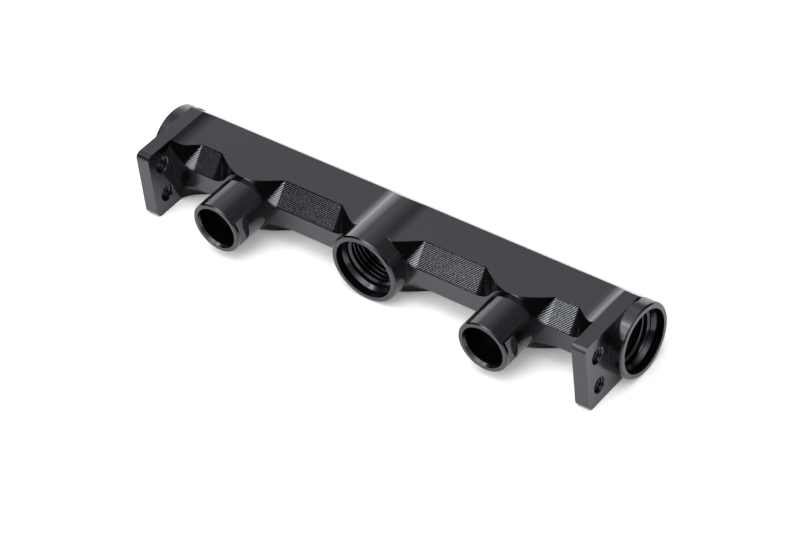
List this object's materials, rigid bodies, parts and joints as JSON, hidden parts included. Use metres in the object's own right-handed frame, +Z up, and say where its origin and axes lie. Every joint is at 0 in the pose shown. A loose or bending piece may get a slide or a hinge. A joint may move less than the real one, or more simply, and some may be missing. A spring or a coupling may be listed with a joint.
{
  "type": "fuel rail",
  "caption": "Machined aluminium fuel rail with threaded ports at both ends and in the middle, injector bosses, end flanges and scooped front edges.",
  "frame": {"origin": "under the middle of the rail, on the level of the undersides of the flanges, centred front to back", "axes": "+X along the rail and its fuel gallery, -Y the way the injector bosses and the centre port point, +Z up"},
  "size_m": [0.1782, 0.039, 0.0243],
  "materials": {
    "anodised_aluminium": "satin black anodised over machined aluminium"
  },
  "bodies": {
    "root": {"fuel_rail": "anodised_aluminium"}
  },
  "joints": []
}
